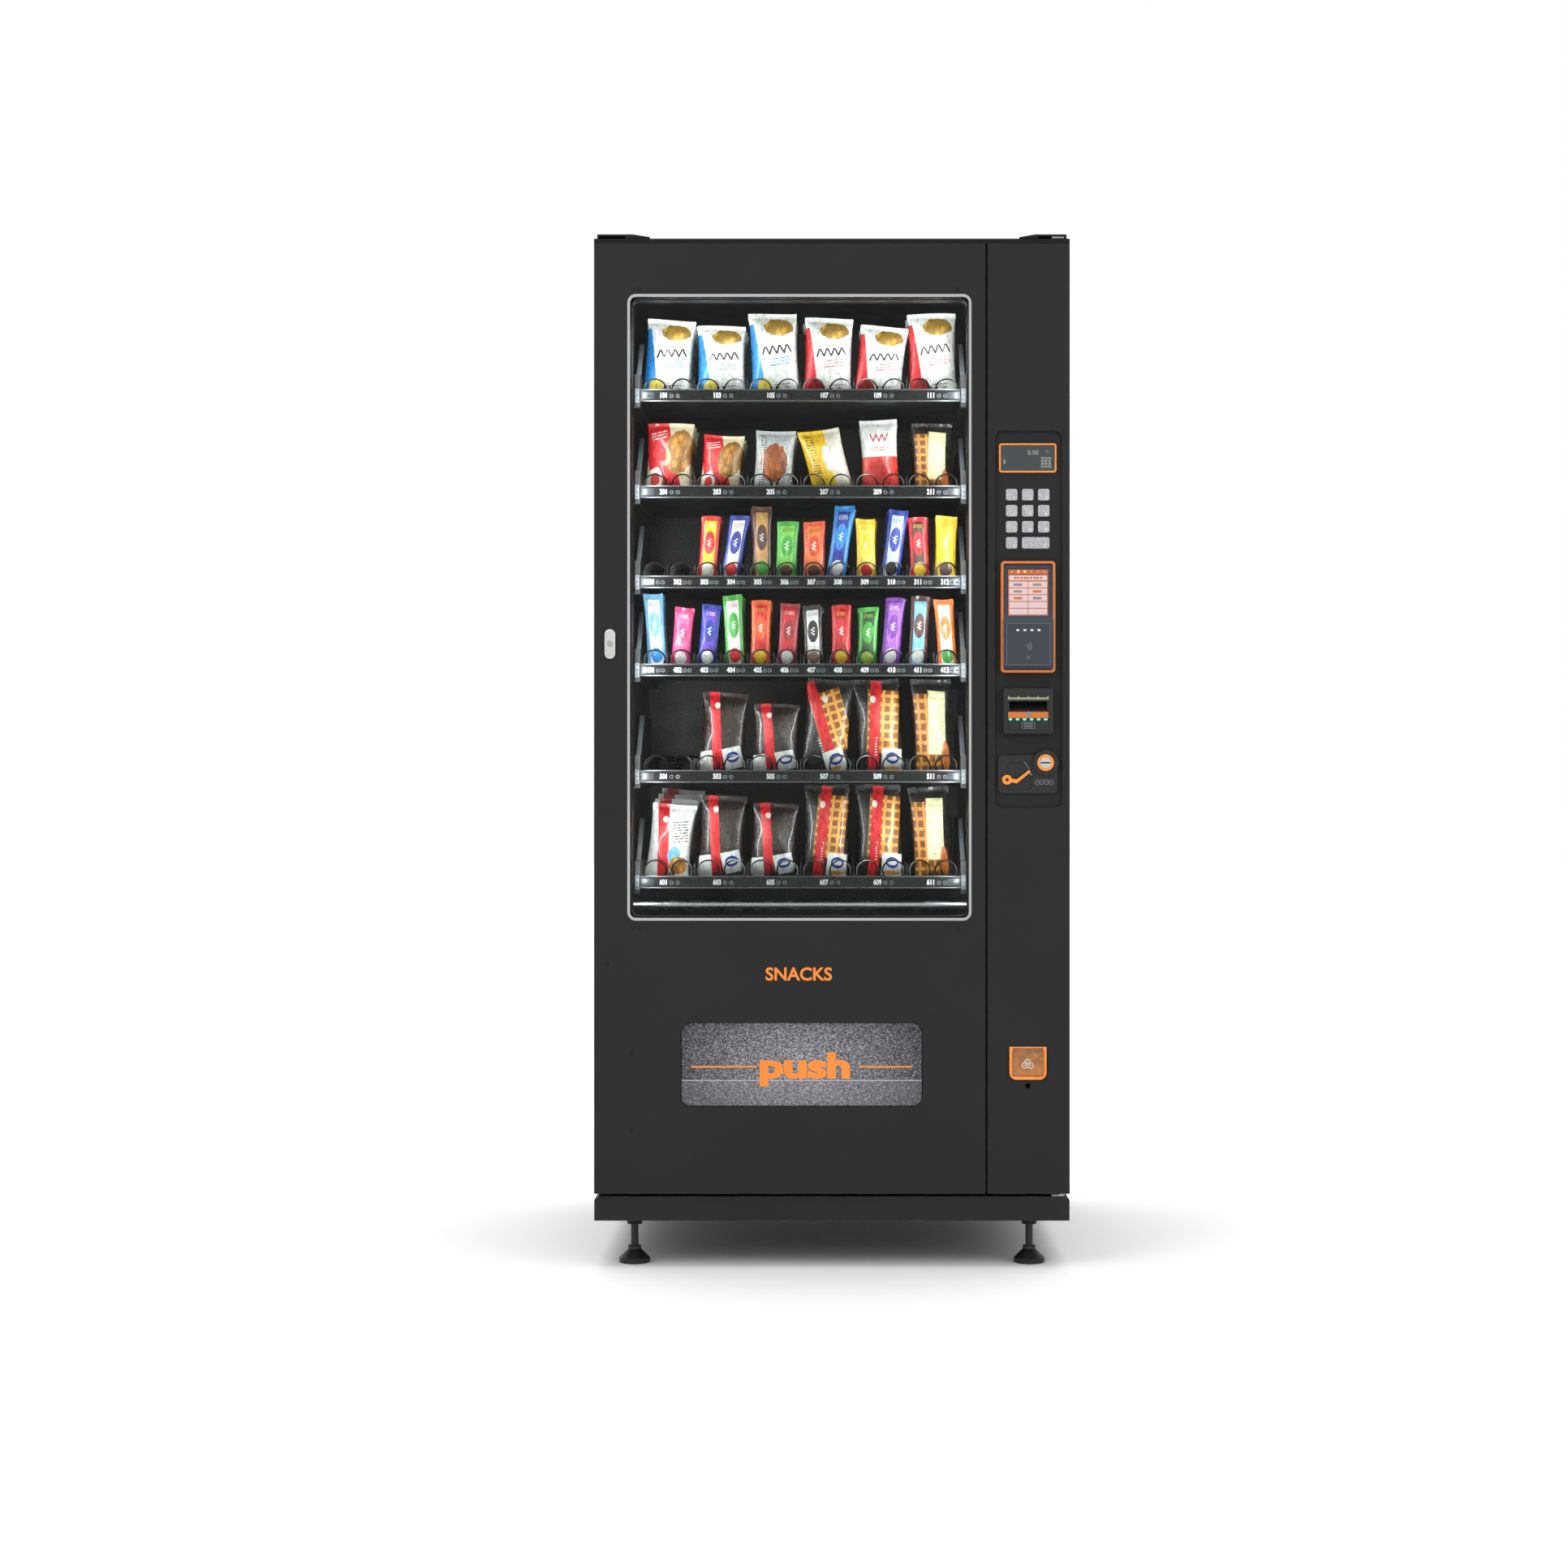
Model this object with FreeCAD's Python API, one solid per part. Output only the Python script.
import FreeCAD, Part
import math
import os

# Free-standing snack vending machine with a glass-fronted door, in millimetres.
# X runs across, with the payment column at +X. Y runs from the front (-Y) to the back. Z is up from the floor.
# Depths named d are measured back from the front plane of the door; FRONT_Y puts them into the frame.

V = FreeCAD.Vector

# ---------------------------------------------------------------- driving dimensions
WIDTH = 880.0
HEIGHT = 1912.0
DEPTH = 800.0

PROUD = 14.0                # furthest that a payment device stands in front of the door
SHEET = 1.5                 # outer sheet steel
LINER_SHEET = 1.2
SKIN_RETURN = 16.0          # depth of the folded edge of the door skins
EDGE_R = 4.0                # bend radius of the skins' outer edges

FOOT_CLEAR = 87.0           # floor to the underside of the base frame
FOOT_STEM_R = 7.0
FOOT_STEM_TALL = 103.0      # floor to the stem's upper end
FOOT_PAD_R = 28.75
FOOT_NECK_R = 12.0
FOOT_COLLAR_R = 14.0
FOOT_COLLAR_DROP = 15.0
FOOT_IN = 70.5              # side of the machine to a foot's axis
FOOT_FRONT_D = 70.0
FOOT_REAR = 55.0            # rear of the cabinet to a rear foot's axis
BASE_TALL = 45.0
BASE_BEAM = 50.0
BASE_WALL = 2.5
BASE_SETBACK = 8.0
BASE_CHAMFER = 7.0
DOOR_GAP = 6.0              # between the base frame and the door
COVER_TALL = 7.0            # roof corner covers, which are the highest pieces
DOOR_TOP_GAP = 1.5          # between the door and the roof line
DOOR_THICK = 60.0
GASKET_THICK = 5.7
DOOR_TO_CABINET = 6.0

SIDE_WALL = 56.0            # outer face of the cabinet side to the product room
COLUMN_WIDTH = 176.0        # right outer face to the product room
PARTITION = 7.0
BACK_SPACE = 84.0           # rear of the cabinet to the product room's back wall
ROOM_BOTTOM = 174.0
ROOM_TOP_DROP = 66.0        # roof line to the product room's ceiling
FIT = 0.3                   # gap between moving pieces that don't bear on each other
RUNNING = 0.05              # radial clearance of a pin in its bore

WINDOW_LEFT = 62.0          # left outer face to the window trim
WINDOW_RIGHT = 182.0        # window trim to the right outer face
WINDOW_BOTTOM = 643.0
WINDOW_TOP_DROP = 111.0     # top of the machine to the window trim
WINDOW_R = 16.0
TRIM_FACE = 4.7
TRIM_PROUD = 1.2
TRIM_LAP = 1.6
GLASS_THICK = 4.0
GLASS_FRONT_D = 4.0
GLASS_CAVITY = 10.0
GLASS_LAP = 8.0

SEAM_RIGHT = 152.0          # right outer face to the payment column's left edge
SEAM_GAP = 4.5
SEAM_DEEP = 10.0
TOP_STRIP = 9.0             # plain strip of the door frame over the two skins

HINGE_IN = 15.0             # hinge axis, inwards from the right face and back from the front plane
HINGE_PIN_R = 6.0
HINGE_PIN_LONG = 32.0
HINGE_PLATE = 3.0

RECESS_BOTTOM = 851.0
RECESS_TOP = 1549.0
RECESS_WIDE = 125.0
RECESS_EDGE = 14.0          # right outer face to the recess
RECESS_R = 15.0
RECESS_DEEP = 6.0
DEVICE_IN = 77.8            # right outer face to the centre line of the payment devices
DEVICE_DEEP = 112.0         # deepest device behind the front plane; the hinge swing limits it

DISPLAY = (106.3, 54.0)
DISPLAY_Z = 1498.5
DISPLAY_BAND = 3.0
KEY = 21.3
KEY_PITCH = 29.7
KEY_ROW_Z = 1430.6          # top row of keys
KEY_R = 3.6
KEY_PROUD = 3.2
KEY_TRAVEL = 1.8
KEY_HOLE_GAP = 0.4
KEY_FLANGE = 2.0

CARD = (100.6, 206.0)
CARD_Z = 1204.0
CARD_BAND = 4.5
BILL = (92.0, 84.0)
BILL_Z = 1030.0
BILL_SLOT = (70.0, 6.0)
COIN = (110.4, 71.0)
COIN_Z = 913.5
COIN_BOSS_R = 23.0
COIN_BOSS_IN = (32.4, 21.3)  # boss centre from the coin plate's centre
COIN_SLOT = (2.8, 18.0)
COIN_PLATE_PROUD = 5.0
LEVER_PIVOT = (-38.6, -10.1)
LEVER_TIP = (39.8, 14.3)
LEVER_ARM = 7.0
LEVER_HUB_R = 8.9
CHANGER_TALL = 380.0
CHANGER_DEEP = 90.0

CUP = (68.0, 60.5)
CUP_Z = 379.7
CUP_BAND = 3.3
CUP_DEEP = 58.0
CUP_R = 13.0

LOCK_IN = 30.0              # left outer face to the lock's axis
LOCK_Z = 1154.0
LOCK_PLATE = (20.0, 55.0)
LOCK_BARREL_R = 6.0

FLAP_LEFT = 160.4           # left outer face to the delivery opening
FLAP_WIDE = 447.3
FLAP_BOTTOM = 299.0
FLAP_TALL = 156.0
FLAP_R = 18.0
FLAP_GAP = 1.5
FLAP_THICK = 5.0
FLAP_PIN_R = 2.5
BIN_WALL = 3.0
BIN_DEEP = 190.0
BIN_TALL = 640.0

TRAY_FRONT_D = 165.0
TRAY_BACK_SPACE = 55.0      # product room's back wall to the shelves' rear ends
TRAY_SHEET = 1.2
TRAY_SIDE = 10.0
TRAY_SIDE_TALL = 62.0
TRAY_DROP = 16.0            # shelf floor to the foot of its side channel
RAIL_SHEET = 1.5
END_SHARE = 0.79            # height of the shelves' end plates in the closest shelf spacing
END_LEAN = 140.0            # how far back their front edges lean
END_FLANGE = 7.0
TRAY_GAP = 8.0              # shelf side to the product room's wall
STRIP_TALL = 24.0
STRIP_THICK = 3.0
ROW_SHARES = (64.0, 202.0, 203.0, 168.0, 172.0, 184.0, 165.0)  # heights from the sill up to the lintel
COIL_LANE_MIN = 50.0
COIL_R = 20.4                # half width of a coil's wire circle
COIL_LIFT = 1.4             # under the coils
COIL_WIRE = 1.6
WIDE_TURN = 67.0
NARROW_TURN = 39.0
COIL_HUB = 12.0
HUB_R = 7.0
HUB_ARM = 4.0               # thickness of the arm from the hub to the wire
HUB_INSET = 8.0             # hub's rear end to the shelf's rear end
SHAFT_R = 3.0
MOTOR = 36.0
DIVIDER_TALL = 38.0
WIDE_ROWS = (1, 2, 5, 6)
EMPTY_LANES = ((3, 1), (3, 2), (5, 1))
STOCK_DEEP = 4              # packets one behind another in a lane, from the coils' second turn
WIDE_PACK_GAP = 6.0
NARROW_PACK_GAP = 12.0
BELLY_SHARE = 0.45          # a packet's thickness in its coil's pitch
FOOT_OVER_WIRE = 0.8
HEAD_GAPS = (22.0, 60.0, 46.0, 40.0, 40.0, 40.0)  # over the packets of rows 1 to 6

# ---------------------------------------------------------------- derived places
FRONT_Y = -DEPTH / 2 + PROUD
BACK_D = DEPTH - PROUD
LEFT = -WIDTH / 2
RIGHT = WIDTH / 2
BASE_TOP = FOOT_CLEAR + BASE_TALL
ROOF = HEIGHT - COVER_TALL
DOOR_BOTTOM = BASE_TOP + DOOR_GAP
DOOR_TOP = ROOF - DOOR_TOP_GAP
SKIN_TOP = DOOR_TOP - TOP_STRIP
CABINET_D = DOOR_THICK + DOOR_TO_CABINET
ROOM_LEFT = LEFT + SIDE_WALL
ROOM_RIGHT = RIGHT - COLUMN_WIDTH
ROOM_TOP = ROOF - ROOM_TOP_DROP
ROOM_BACK_D = BACK_D - BACK_SPACE
WINDOW_X0 = LEFT + WINDOW_LEFT
WINDOW_X1 = RIGHT - WINDOW_RIGHT
WINDOW_TOP = HEIGHT - WINDOW_TOP_DROP
SEAM_X1 = RIGHT - SEAM_RIGHT
SEAM_X0 = SEAM_X1 - SEAM_GAP
HINGE_X = RIGHT - HINGE_IN
HINGE_D = HINGE_IN
DEVICE_X = RIGHT - DEVICE_IN
RECESS_X1 = RIGHT - RECESS_EDGE
RECESS_X0 = RECESS_X1 - RECESS_WIDE
RECESS_BACK = RECESS_DEEP + SHEET
LOCK_X = LEFT + LOCK_IN
FLAP_X0 = LEFT + FLAP_LEFT
FLAP_X1 = FLAP_X0 + FLAP_WIDE
FLAP_TOP = FLAP_BOTTOM + FLAP_TALL
TRAY_X0 = ROOM_LEFT + TRAY_GAP
TRAY_X1 = ROOM_RIGHT - TRAY_GAP
TRAY_BACK_D = ROOM_BACK_D - TRAY_BACK_SPACE
COILS = int((TRAY_X1 - TRAY_X0 - 2 * TRAY_SIDE) // COIL_LANE_MIN)
LANE = (TRAY_X1 - TRAY_X0 - 2 * TRAY_SIDE) / COILS
COIL_FRONT_D = TRAY_FRONT_D + 6.0


def row_z(row):
    """Centre height of a shelf's price strip; row 1 is the highest of six."""
    rise = sum(ROW_SHARES[: 7 - row])
    return WINDOW_BOTTOM + (WINDOW_TOP - WINDOW_BOTTOM) * rise / sum(ROW_SHARES)


def row_floor(row):
    return row_z(row) - 4.0


def coil_run(row):
    """Start depth, pitch and number of whole turns of a shelf's coils, from the price strip to the hubs."""
    start = COIL_FRONT_D + COIL_WIRE
    reach = TRAY_BACK_D - HUB_INSET - COIL_HUB + COIL_WIRE - start
    turns = round(reach / (WIDE_TURN if row in WIDE_ROWS else NARROW_TURN))
    return start, reach / turns, turns


def row_axis(row):
    """Height of the coils' axes over the shelf floor."""
    return row_floor(row) + COIL_R + COIL_WIRE + COIL_LIFT


def row_clear(row):
    """Free height over a shelf's floor."""
    above = row_z(row - 1) - STRIP_TALL / 2 if row > 1 else WINDOW_TOP
    return above - row_floor(row)


# ---------------------------------------------------------------- shapes
def box(x0, x1, d0, d1, z0, z1):
    return Part.makeBox(x1 - x0, d1 - d0, z1 - z0, V(x0, FRONT_Y + d0, z0))


def plate(x0, x1, d0, d1, z0, z1, radius):
    """A slab facing the front, with its four corners rounded in the XZ plane."""
    slab = box(x0, x1, d0, d1, z0, z1)
    along = [e for e in slab.Edges if abs(e.Vertexes[0].Y - e.Vertexes[1].Y) > 1e-6]
    return slab.makeFillet(radius, along)


def soft_plate(x0, x1, d0, d1, z0, z1, radius, edge):
    """A rounded slab whose front edge is softened too."""
    slab = plate(x0, x1, d0, d1, z0, z1, radius)
    front = [e for e in slab.Edges if all(abs(v.Y - FRONT_Y - d0) < 1e-6 for v in e.Vertexes)]
    return slab.makeFillet(edge, front)


def rod(centre, axis, radius, length):
    """A cylinder from centre (x, d, z) along an axis vector (x, d, z)."""
    return Part.makeCylinder(radius, length, V(centre[0], FRONT_Y + centre[1], centre[2]), V(*axis))


def profile_x(points, x0, x1):
    """A prism along X of an outline of (d, z) points."""
    corners = [V(x0, FRONT_Y + d, z) for d, z in points]
    return Part.Face(Part.makePolygon(corners + corners[:1])).extrude(V(x1 - x0, 0, 0))


def profile_y(points, d0, d1):
    """A prism along Y of an outline of (x, z) points."""
    corners = [V(x, FRONT_Y + d0, z) for x, z in points]
    return Part.Face(Part.makePolygon(corners + corners[:1])).extrude(V(0, d1 - d0, 0))


def joined(first, *others):
    shape = first.fuse(list(others))
    return shape.removeSplitter()


def centred(width, x):
    return x - width / 2, x + width / 2


def save(name, *solids):
    """Write a node; several solids stay separate in one compound."""
    shape = solids[0] if len(solids) == 1 else Part.makeCompound(list(solids))
    for solid in shape.Solids:
        if not solid.isValid():
            print("not valid:", name)
    shape.exportStep("parts/" + name + ".step")


# ---------------------------------------------------------------- cabinet
def wrap_opening():
    """The front opening that the folded flange of the outer wrap leaves, as x0, x1, z0, z1."""
    return ROOM_LEFT - 14.0, RIGHT - 19.0, BASE_TOP + 30.0, ROOF - 25.0


def outer_wrap():
    shell = box(LEFT, RIGHT, CABINET_D, BACK_D - SHEET, BASE_TOP, ROOF)
    long_edges = [e for e in shell.Edges
                  if abs(e.Vertexes[0].Y - e.Vertexes[1].Y) > 1.0 and e.Vertexes[0].Z > ROOF - 1.0]
    shell = shell.makeFillet(EDGE_R, long_edges)
    inside = box(LEFT + SHEET, RIGHT - SHEET, CABINET_D + SHEET, BACK_D, BASE_TOP - 1.0, ROOF - SHEET)
    upper = [e for e in inside.Edges
             if abs(e.Vertexes[0].Y - e.Vertexes[1].Y) > 1.0 and e.Vertexes[0].Z > ROOF - 2.0 * SHEET]
    inside = inside.makeFillet(EDGE_R - SHEET, upper)
    x0, x1, z0, z1 = wrap_opening()
    mouth = box(x0, x1, CABINET_D - 1.0, CABINET_D + SHEET + 1.0, z0, z1)
    save("outer_wrap", shell.cut(inside).cut(mouth))


def rear_panel():
    panel = box(LEFT, RIGHT, BACK_D - SHEET, BACK_D, BASE_TOP, ROOF)
    edges = [e for e in panel.Edges
             if abs(e.Vertexes[0].Y - e.Vertexes[1].Y) > 1.0 and e.Vertexes[0].Z > ROOF - 1.0]
    panel = panel.makeFillet(EDGE_R, edges)
    cuts = []
    for bank_x in (ROOM_LEFT + 60.0, ROOM_RIGHT - 220.0):
        for index in range(9):
            z = ROOM_BOTTOM + 30.0 + index * 16.0
            cuts.append(plate(bank_x, bank_x + 160.0, BACK_D - 3.0, BACK_D + 1.0, z, z + 6.0, 2.9))
    x0, x1, z0, z1 = inlet_place()
    cuts.append(box(x0, x1, BACK_D - 3.0, BACK_D + 1.0, z0, z1))
    save("rear_panel", panel.cut(cuts))


def inlet_place():
    x0 = ROOM_RIGHT + 60.0
    return x0, x0 + 48.0, BASE_TOP + 70.0, BASE_TOP + 98.0


def power_inlet():
    x0, x1, z0, z1 = inlet_place()
    flange = box(x0, x1, BACK_D - 3.0, BACK_D, z0, z1)
    body = box(x0 + 8.0, x1 - 8.0, BACK_D - 30.0, BACK_D - 3.0, z0 + 2.0, z1 - 2.0)
    socket = box(x0 + 12.0, x1 - 12.0, BACK_D - 18.0, BACK_D + 1.0, z0 + 6.0, z1 - 6.0)
    pins = [box(x0 + dx - 1.0, x0 + dx + 1.0, BACK_D - 18.0, BACK_D - 4.0, z0 + 10.0, z0 + 17.0)
            for dx in (17.0, 24.0, 31.0)]
    save("power_inlet", joined(flange, body).cut(socket).fuse(pins))


def inner_liner():
    d1 = ROOM_BACK_D + LINER_SHEET
    d0 = CABINET_D + SHEET
    shell = box(ROOM_LEFT - LINER_SHEET, ROOM_RIGHT, d0, d1, ROOM_BOTTOM - LINER_SHEET, ROOM_TOP + LINER_SHEET)
    room = box(ROOM_LEFT, ROOM_RIGHT + 1.0, d0 - 1.0, ROOM_BACK_D, ROOM_BOTTOM, ROOM_TOP)
    save("inner_liner", shell.cut(room))


def insulation():
    d0 = CABINET_D + SHEET
    d1 = ROOM_BACK_D + LINER_SHEET
    left = box(LEFT + SHEET, ROOM_LEFT - LINER_SHEET, d0, d1, BASE_TOP + 8.0, ROOM_TOP + LINER_SHEET)
    top = box(LEFT + SHEET + EDGE_R, ROOM_RIGHT, d0, d1, ROOM_TOP + LINER_SHEET, ROOF - SHEET)
    back = box(LEFT + SHEET, ROOM_RIGHT, d1, d1 + 40.0, ROOM_BOTTOM + 190.0, ROOF - SHEET - EDGE_R)
    save("insulation", left, top, back)


def partition_wall():
    """The wall reaches forward through the front opening, where the door's gasket meets it."""
    _, _, z0, z1 = wrap_opening()
    wall = box(ROOM_RIGHT, ROOM_RIGHT + PARTITION, CABINET_D + SHEET, BACK_D - SHEET, BASE_TOP, ROOF - SHEET)
    nose = box(ROOM_RIGHT, ROOM_RIGHT + PARTITION, CABINET_D, CABINET_D + SHEET + 1.0, z0, z1)
    save("partition_wall", joined(wall, nose))


def foot_places():
    x = WIDTH / 2 - FOOT_IN
    return {"foot_front_left": (-x, FOOT_FRONT_D), "foot_front_right": (x, FOOT_FRONT_D),
            "foot_rear_left": (-x, BACK_D - FOOT_REAR), "foot_rear_right": (x, BACK_D - FOOT_REAR)}


def base_frame():
    """A ring of channel, open below, under a sheet deck, with a boss for each foot's thread."""
    outer = box(LEFT, RIGHT, BASE_SETBACK, BACK_D, FOOT_CLEAR, BASE_TOP)
    front = [e for e in outer.Edges
             if abs(e.Vertexes[0].Y - e.Vertexes[1].Y) > 1.0 and e.Vertexes[0].Z > BASE_TOP - 1.0]
    outer = outer.makeChamfer(BASE_CHAMFER, front)
    wall = BASE_WALL
    trough = box(LEFT + wall, RIGHT - wall, BASE_SETBACK + wall, BACK_D - wall,
                 FOOT_CLEAR - 1.0, BASE_TOP - BASE_CHAMFER - wall)
    centre = box(LEFT + BASE_BEAM + 42.0, RIGHT - BASE_BEAM - 42.0, BASE_SETBACK + BASE_BEAM + 34.0,
                 BACK_D - BASE_BEAM - 34.0, FOOT_CLEAR - 1.0, BASE_TOP - 2.0)
    rim_out = box(LEFT + BASE_BEAM + 42.0 - wall, RIGHT - BASE_BEAM - 42.0 + wall,
                  BASE_SETBACK + BASE_BEAM + 34.0 - wall, BACK_D - BASE_BEAM - 34.0 + wall,
                  FOOT_CLEAR, BASE_TOP - 1.0)
    ring = outer.cut(trough).fuse(rim_out)
    bosses = []
    holes = []
    for x, d in foot_places().values():
        bosses.append(rod((x, d, FOOT_CLEAR - FOOT_COLLAR_DROP), (0, 0, 1), FOOT_COLLAR_R,
                          BASE_TALL + FOOT_COLLAR_DROP - wall))
        holes.append(rod((x, d, FOOT_CLEAR - FOOT_COLLAR_DROP - 1.0), (0, 0, 1), FOOT_STEM_R + RUNNING,
                         BASE_TALL + FOOT_COLLAR_DROP - wall - 2.0))
    save("base_frame", ring.fuse(bosses).cut(centre).cut(holes).removeSplitter())


def feet():
    for name, (x, d) in foot_places().items():
        rim = rod((x, d, 0.0), (0, 0, 1), FOOT_PAD_R, 9.0)
        cone = Part.makeCone(FOOT_PAD_R, FOOT_NECK_R, 16.0, V(x, FRONT_Y + d, 9.0))
        neck = rod((x, d, 25.0), (0, 0, 1), FOOT_NECK_R, 6.0)
        stem = rod((x, d, 31.0), (0, 0, 1), FOOT_STEM_R, FOOT_STEM_TALL - 31.0)
        save(name, joined(rim, cone, neck, stem))


def roof_covers():
    """Corner covers on the roof's front corners; each is flat outboard and slopes down inboard."""
    covers = []
    for side, reach, flat in ((-1, 97.0, 36.0), (1, 87.0, 27.0)):
        outer_x = side * (WIDTH / 2 - 6.0)
        flat_x = outer_x - side * (flat + 30.0)
        inner_x = outer_x - side * reach
        outline = [(outer_x, ROOF), (outer_x, HEIGHT), (flat_x, HEIGHT), (inner_x, ROOF + 2.0), (inner_x, ROOF)]
        cover = profile_y(outline, 3.0, 150.0)
        pocket_x = sorted((outer_x - side * 3.0, outer_x - side * 52.0))
        hollow = box(pocket_x[0], pocket_x[1], 2.0, 147.0, ROOF - 1.0, ROOF + HINGE_PLATE + 0.6)
        covers.append(cover.cut(hollow))
    save("roof_covers", *covers)


def hinge_brackets():
    x0, x1 = HINGE_X - 18.0, RIGHT - 10.5
    top = joined(box(x0, x1, HINGE_D - 11.0, 120.0, ROOF, ROOF + HINGE_PLATE),
                 rod((HINGE_X, HINGE_D, ROOF - HINGE_PIN_LONG), (0, 0, 1), HINGE_PIN_R, HINGE_PIN_LONG))
    low = joined(box(x0, x1, BASE_SETBACK + 1.0, 60.0, BASE_TOP, BASE_TOP + HINGE_PLATE),
                 rod((HINGE_X, HINGE_D, BASE_TOP), (0, 0, 1), HINGE_PIN_R,
                     HINGE_PIN_LONG + HINGE_PLATE))
    save("hinge_brackets", top, low)


# ---------------------------------------------------------------- product room
def coil_x(index):
    """Centre of coil number index, counted from 0 at the left."""
    return TRAY_X0 + TRAY_SIDE + LANE * (index + 0.5)


def lanes(row):
    """The coils of each lane: two to a wide lane, one to a narrow lane."""
    step = 2 if row in WIDE_ROWS else 1
    return [list(range(first, min(first + step, COILS))) for first in range(0, COILS, step)]


def end_plate(row, x0, x1, flange_x0, flange_x1):
    """A shelf's tall end plate, whose flanged front edge leans back."""
    foot = row_z(row) - STRIP_TALL / 2
    knee = foot + STRIP_TALL
    top = foot + END_SHARE * (WINDOW_TOP - WINDOW_BOTTOM) * min(ROW_SHARES[1:]) / sum(ROW_SHARES)
    lean_d = TRAY_FRONT_D + END_LEAN
    outline = [(TRAY_FRONT_D, foot), (TRAY_FRONT_D, knee), (lean_d, top), (TRAY_BACK_D, top), (TRAY_BACK_D, foot)]
    flange = [(TRAY_FRONT_D, foot), (TRAY_FRONT_D, knee), (lean_d, top),
              (lean_d + 2 * TRAY_SHEET, top), (TRAY_FRONT_D + 2 * TRAY_SHEET, knee),
              (TRAY_FRONT_D + 2 * TRAY_SHEET, foot)]
    return profile_x(outline, x0, x1).fuse(profile_x(flange, flange_x0, flange_x1))


def trays():
    shelves = []
    for row in range(1, 7):
        floor = row_floor(row)
        under = floor - TRAY_SHEET
        pan = [box(TRAY_X0, TRAY_X1, TRAY_FRONT_D, TRAY_BACK_D, under, floor)]
        pan.append(box(TRAY_X0, TRAY_X1, TRAY_FRONT_D, TRAY_FRONT_D + TRAY_SHEET,
                       row_z(row) - STRIP_TALL / 2, row_z(row) + STRIP_TALL / 2))
        foot = under - TRAY_DROP
        for x0 in (TRAY_X0, TRAY_X1 - TRAY_SIDE):
            side = box(x0, x0 + TRAY_SIDE, TRAY_FRONT_D, TRAY_BACK_D, foot, foot + TRAY_SIDE_TALL)
            hollow = box(x0 + TRAY_SHEET, x0 + TRAY_SIDE - TRAY_SHEET, TRAY_FRONT_D + TRAY_SHEET, TRAY_BACK_D + 1.0,
                         foot - 1.0, foot - TRAY_SHEET + TRAY_SIDE_TALL)
            pan.append(side.cut(hollow))
        pan.append(end_plate(row, TRAY_X0, TRAY_X0 + TRAY_SHEET, TRAY_X0, TRAY_X0 + END_FLANGE))
        pan.append(end_plate(row, TRAY_X1 - TRAY_SHEET, TRAY_X1, TRAY_X1 - END_FLANGE, TRAY_X1))
        for lane in lanes(row)[1:]:
            x = coil_x(lane[0]) - LANE / 2
            pan.append(box(x - 0.5, x + 0.5, TRAY_FRONT_D, TRAY_BACK_D, floor, floor + DIVIDER_TALL))
        pan.append(box(TRAY_X0, TRAY_X1, TRAY_BACK_D - TRAY_SHEET, TRAY_BACK_D, under, floor + 46.0))
        shelf = joined(*pan)
        bores = [rod((coil_x(i), TRAY_BACK_D - 5.0, row_axis(row)), (0, 1, 0), SHAFT_R + 2.0, 10.0)
                 for i in range(COILS)]
        shelves.append(shelf.cut(bores))
    save("trays", *shelves)


def price_strips():
    strips = []
    for row in range(1, 7):
        z = row_z(row)
        strips.append(soft_plate(TRAY_X0 + TRAY_SIDE, TRAY_X1 - TRAY_SIDE, TRAY_FRONT_D - STRIP_THICK,
                                 TRAY_FRONT_D, z - STRIP_TALL / 2, z + STRIP_TALL / 2, 1.5, 0.8))
    save("price_strips", *strips)


def tray_rails():
    rails = []
    for row in range(1, 7):
        z1 = row_floor(row) - TRAY_SHEET - TRAY_DROP
        for wall, tip in ((ROOM_LEFT, TRAY_X0 + TRAY_SIDE - 1.0), (ROOM_RIGHT, TRAY_X1 - TRAY_SIDE + 1.0)):
            inner = wall + math.copysign(RAIL_SHEET, tip - wall)
            web = box(min(wall, inner), max(wall, inner), TRAY_FRONT_D + 4.0, ROOM_BACK_D, z1 - RAIL_SHEET, z1 + 18.0)
            shelf = box(min(wall, tip), max(wall, tip), TRAY_FRONT_D + 4.0, ROOM_BACK_D, z1 - RAIL_SHEET, z1)
            rails.append(joined(web, shelf))
    save("tray_rails", *rails)


def coil_motors():
    motors = []
    for row in range(1, 7):
        z = row_axis(row)
        for lane in lanes(row):
            x = sum(coil_x(i) for i in lane) / len(lane)
            x0, x1 = centred(MOTOR * len(lane) * 0.95, x)
            case = box(x0, x1, TRAY_BACK_D, TRAY_BACK_D + 30.0, z - 20.0, z + 16.0)
            shafts = [rod((coil_x(i), TRAY_BACK_D - HUB_INSET, z), (0, 1, 0), SHAFT_R, HUB_INSET) for i in lane]
            motors.append(joined(case, *shafts))
    save("coil_motors", *motors)


def half_ring(centre, wide, tall):
    """Half of an ellipse from centre + wide through centre + tall, so that it is round along the coil's axis."""
    ring = Part.Ellipse(centre + wide, centre + tall, centre)
    return Part.ArcOfEllipse(ring, 0.0, math.pi).toShape()


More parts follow.
